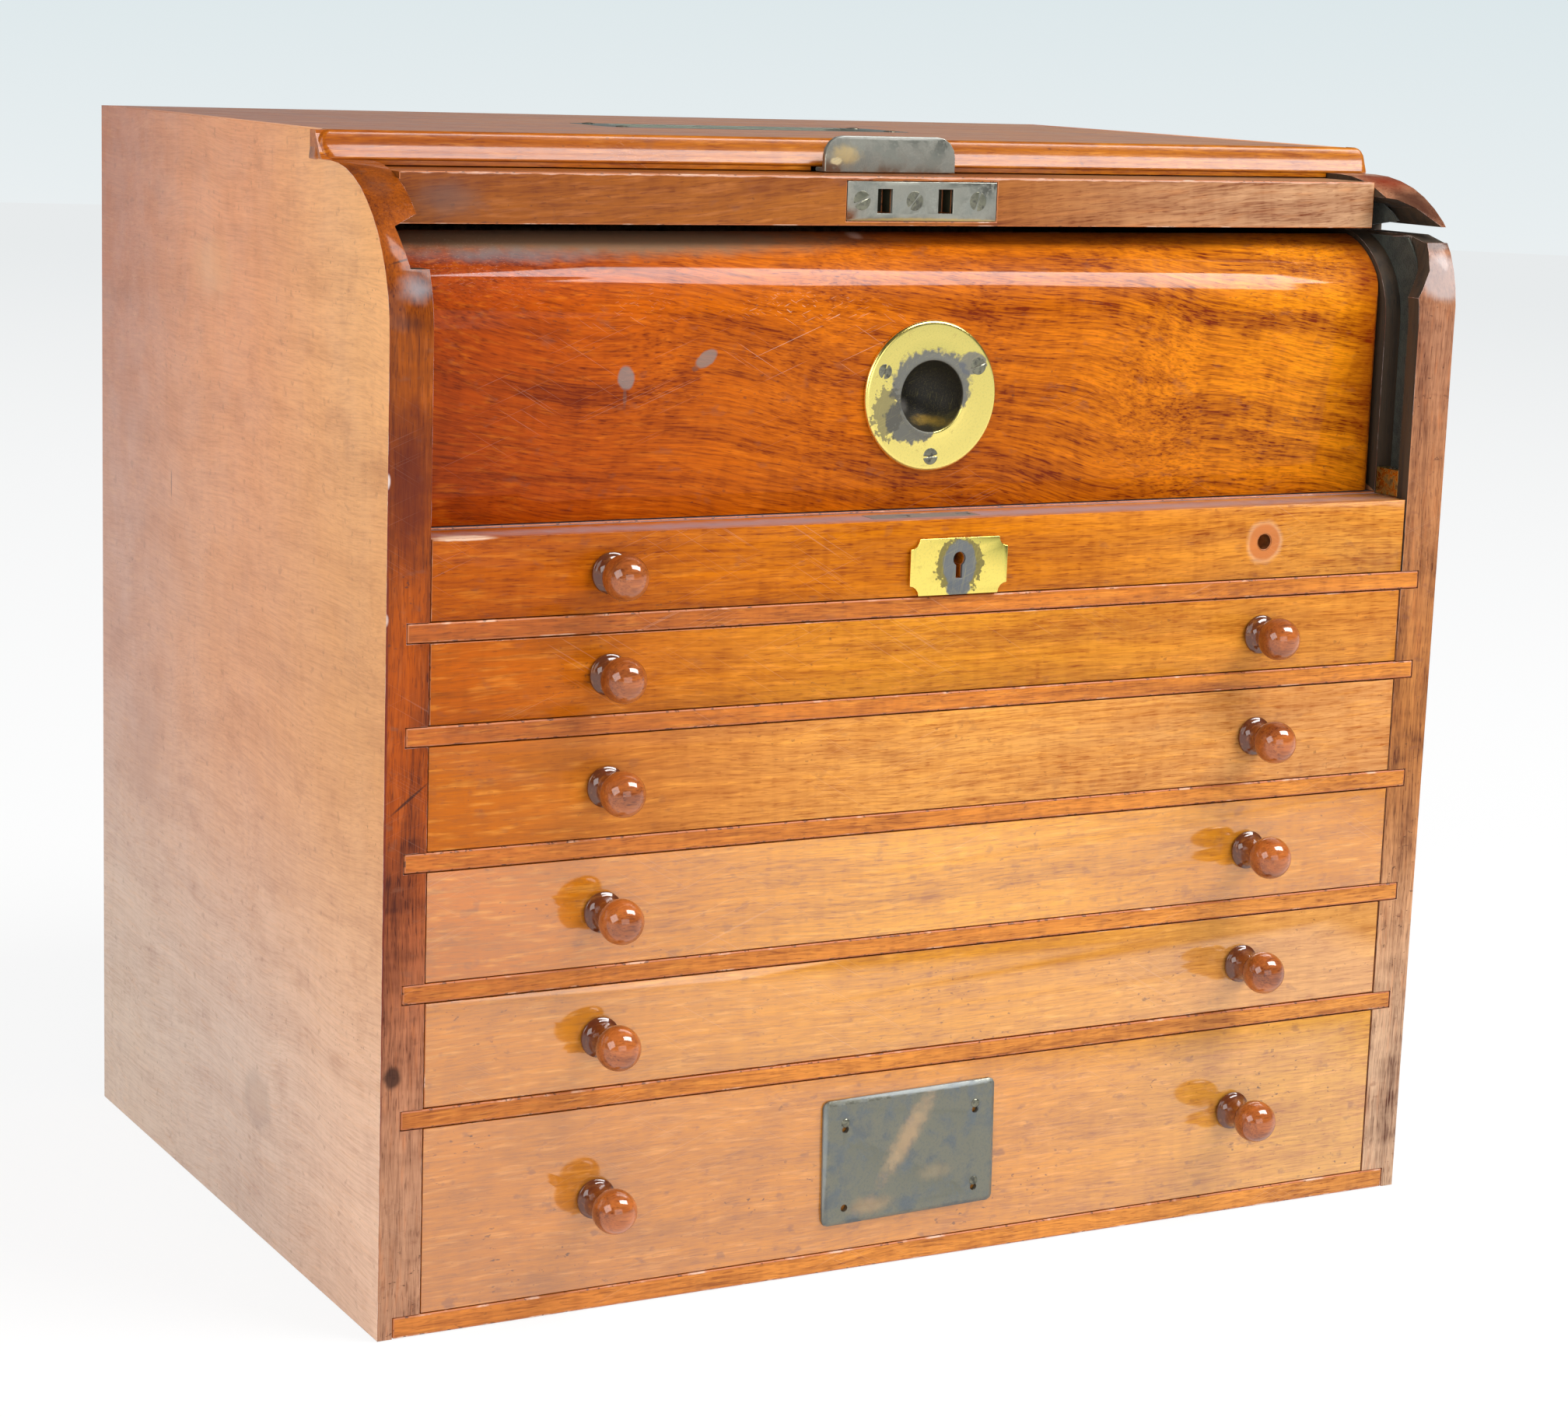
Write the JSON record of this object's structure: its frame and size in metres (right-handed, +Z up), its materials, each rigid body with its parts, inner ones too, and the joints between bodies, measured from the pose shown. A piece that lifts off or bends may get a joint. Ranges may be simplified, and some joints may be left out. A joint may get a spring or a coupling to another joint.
{
  "type": "haberdashery cabinet",
  "caption": "Table-top mahogany cabinet of thin drawers under a deep drawer that a roll front closes",
  "frame": {"origin": "middle of the underside", "axes": "+Z up, front towards -Y, +X to the right of the front"},
  "size_m": [0.406, 0.3077, 0.3819],
  "materials": {
    "case_mahogany": "old shellac polish, worn and scratched",
    "front_mahogany": "old shellac polish, worn and scratched",
    "drawer_wood": "bare",
    "groove_lining": "worn baize",
    "dark_brass": "dull green-grey patina",
    "bright_brass": "polished by use, dark in the hollows",
    "bronze": "dark patina with rubbed edges",
    "lock_iron": "dark"
  },
  "bodies": {
    "carcass": {"side_left": "case_mahogany", "side_right": "case_mahogany", "base_board": "case_mahogany", "back_board": "drawer_wood", "divider_1": "case_mahogany", "divider_2": "case_mahogany", "divider_3": "case_mahogany", "divider_4": "case_mahogany", "divider_5": "case_mahogany", "deep_board": "case_mahogany", "top_board": "case_mahogany", "groove_lining_left": "groove_lining", "groove_lining_right": "groove_lining", "groove_stop_left": "dark_brass", "groove_stop_right": "dark_brass", "handle_pan": "dark_brass"},
    "rail": {"shutter_rail": "front_mahogany", "keeper_plate": "dark_brass", "lifting_lug": "dark_brass", "slat_1": "front_mahogany", "slat_2": "front_mahogany"},
    "slat_3": {"slat_3": "front_mahogany"},
    "slat_4": {"slat_4": "front_mahogany"},
    "slat_5": {"slat_5": "front_mahogany"},
    "slat_6": {"slat_6": "front_mahogany"},
    "slat_7": {"slat_7": "front_mahogany"},
    "slats_8_9": {"slat_8": "front_mahogany", "slat_9": "front_mahogany"},
    "deep_drawer": {"deep_front": "front_mahogany", "deep_tray": "drawer_wood", "deep_tray_floor": "drawer_wood", "finger_pull": "bright_brass"},
    "drawer_1": {"drawer_1_front": "front_mahogany", "drawer_1_tray": "drawer_wood", "knob_1_left": "front_mahogany", "lock_case": "lock_iron", "escutcheon": "bright_brass"},
    "drawer_2": {"drawer_2_front": "front_mahogany", "drawer_2_tray": "drawer_wood", "knob_2_left": "front_mahogany", "knob_2_right": "front_mahogany"},
    "drawer_3": {"drawer_3_front": "front_mahogany", "drawer_3_tray": "drawer_wood", "knob_3_left": "front_mahogany", "knob_3_right": "front_mahogany"},
    "drawer_4": {"drawer_4_front": "front_mahogany", "drawer_4_tray": "drawer_wood", "knob_4_left": "front_mahogany", "knob_4_right": "front_mahogany"},
    "drawer_5": {"drawer_5_front": "front_mahogany", "drawer_5_tray": "drawer_wood", "knob_5_left": "front_mahogany", "knob_5_right": "front_mahogany"},
    "drawer_6": {"drawer_6_front": "front_mahogany", "drawer_6_tray": "drawer_wood", "knob_6_left": "front_mahogany", "knob_6_right": "front_mahogany", "name_plate": "bronze"},
    "bolt": {"lock_bolt": "dark_brass"},
    "bail": {"handle_bail": "dark_brass"}
  },
  "joints": [
    {"name": "roll_front", "type": "hinge", "parent": "carcass", "child": "rail", "pos_m": [0, -0.0706, 0.3001], "axis": [-1, 0, 0], "range_deg": [-90, 0]},
    {"name": "slat_3_turn", "type": "hinge", "parent": "carcass", "child": "slat_3", "pos_m": [0, -0.07035, 0.29958], "axis": [-1, 0, 0], "range_deg": [-89.27, 0]},
    {"name": "slat_4_turn", "type": "hinge", "parent": "carcass", "child": "slat_4", "pos_m": [0, -0.06385, 0.28176], "axis": [-1, 0, 0], "range_deg": [-70.17, 0]},
    {"name": "slat_5_turn", "type": "hinge", "parent": "carcass", "child": "slat_5", "pos_m": [0, -0.05735, 0.24984], "axis": [-1, 0, 0], "range_deg": [-51.07, 0]},
    {"name": "slat_6_turn", "type": "hinge", "parent": "carcass", "child": "slat_6", "pos_m": [0, -0.05085, 0.17984], "axis": [-1, 0, 0], "range_deg": [-31.97, 0]},
    {"name": "slat_7_turn", "type": "hinge", "parent": "carcass", "child": "slat_7", "pos_m": [0, -0.04435, -0.09465], "axis": [-1, 0, 0], "range_deg": [-12.87, 0]},
    {"name": "slats_8_9_slide", "type": "slide", "parent": "carcass", "child": "slats_8_9", "axis": [0, 1, 0], "range_m": [-0.10246, 0]},
    {"name": "deep_drawer_slide", "type": "slide", "parent": "carcass", "child": "deep_drawer", "axis": [0, -1, 0], "range_m": [0, 0.17]},
    {"name": "drawer_1_slide", "type": "slide", "parent": "carcass", "child": "drawer_1", "axis": [0, -1, 0], "range_m": [0, 0.19]},
    {"name": "drawer_2_slide", "type": "slide", "parent": "carcass", "child": "drawer_2", "axis": [0, -1, 0], "range_m": [0, 0.19]},
    {"name": "drawer_3_slide", "type": "slide", "parent": "carcass", "child": "drawer_3", "axis": [0, -1, 0], "range_m": [0, 0.19]},
    {"name": "drawer_4_slide", "type": "slide", "parent": "carcass", "child": "drawer_4", "axis": [0, -1, 0], "range_m": [0, 0.19]},
    {"name": "drawer_5_slide", "type": "slide", "parent": "carcass", "child": "drawer_5", "axis": [0, -1, 0], "range_m": [0, 0.19]},
    {"name": "drawer_6_slide", "type": "slide", "parent": "carcass", "child": "drawer_6", "axis": [0, -1, 0], "range_m": [0, 0.19]},
    {"name": "lock_bolt_lift", "type": "slide", "parent": "drawer_1", "child": "bolt", "axis": [0, 0, 1], "range_m": [0, 0.006]},
    {"name": "bail_turn", "type": "hinge", "parent": "carcass", "child": "bail", "pos_m": [0, 0.0135, 0.3771], "axis": [1, 0, 0], "range_deg": [0, 90]}
  ],
  "couplings": [
    {"joint": "slat_3_turn", "follows": "roll_front", "ratio": 0.99184},
    {"joint": "slat_4_turn", "follows": "roll_front", "ratio": 0.77963},
    {"joint": "slat_5_turn", "follows": "roll_front", "ratio": 0.56743},
    {"joint": "slat_6_turn", "follows": "roll_front", "ratio": 0.35522},
    {"joint": "slat_7_turn", "follows": "roll_front", "ratio": 0.14301},
    {"joint": "slats_8_9_slide", "follows": "roll_front", "m_per_rad": 0.065229}
  ]
}
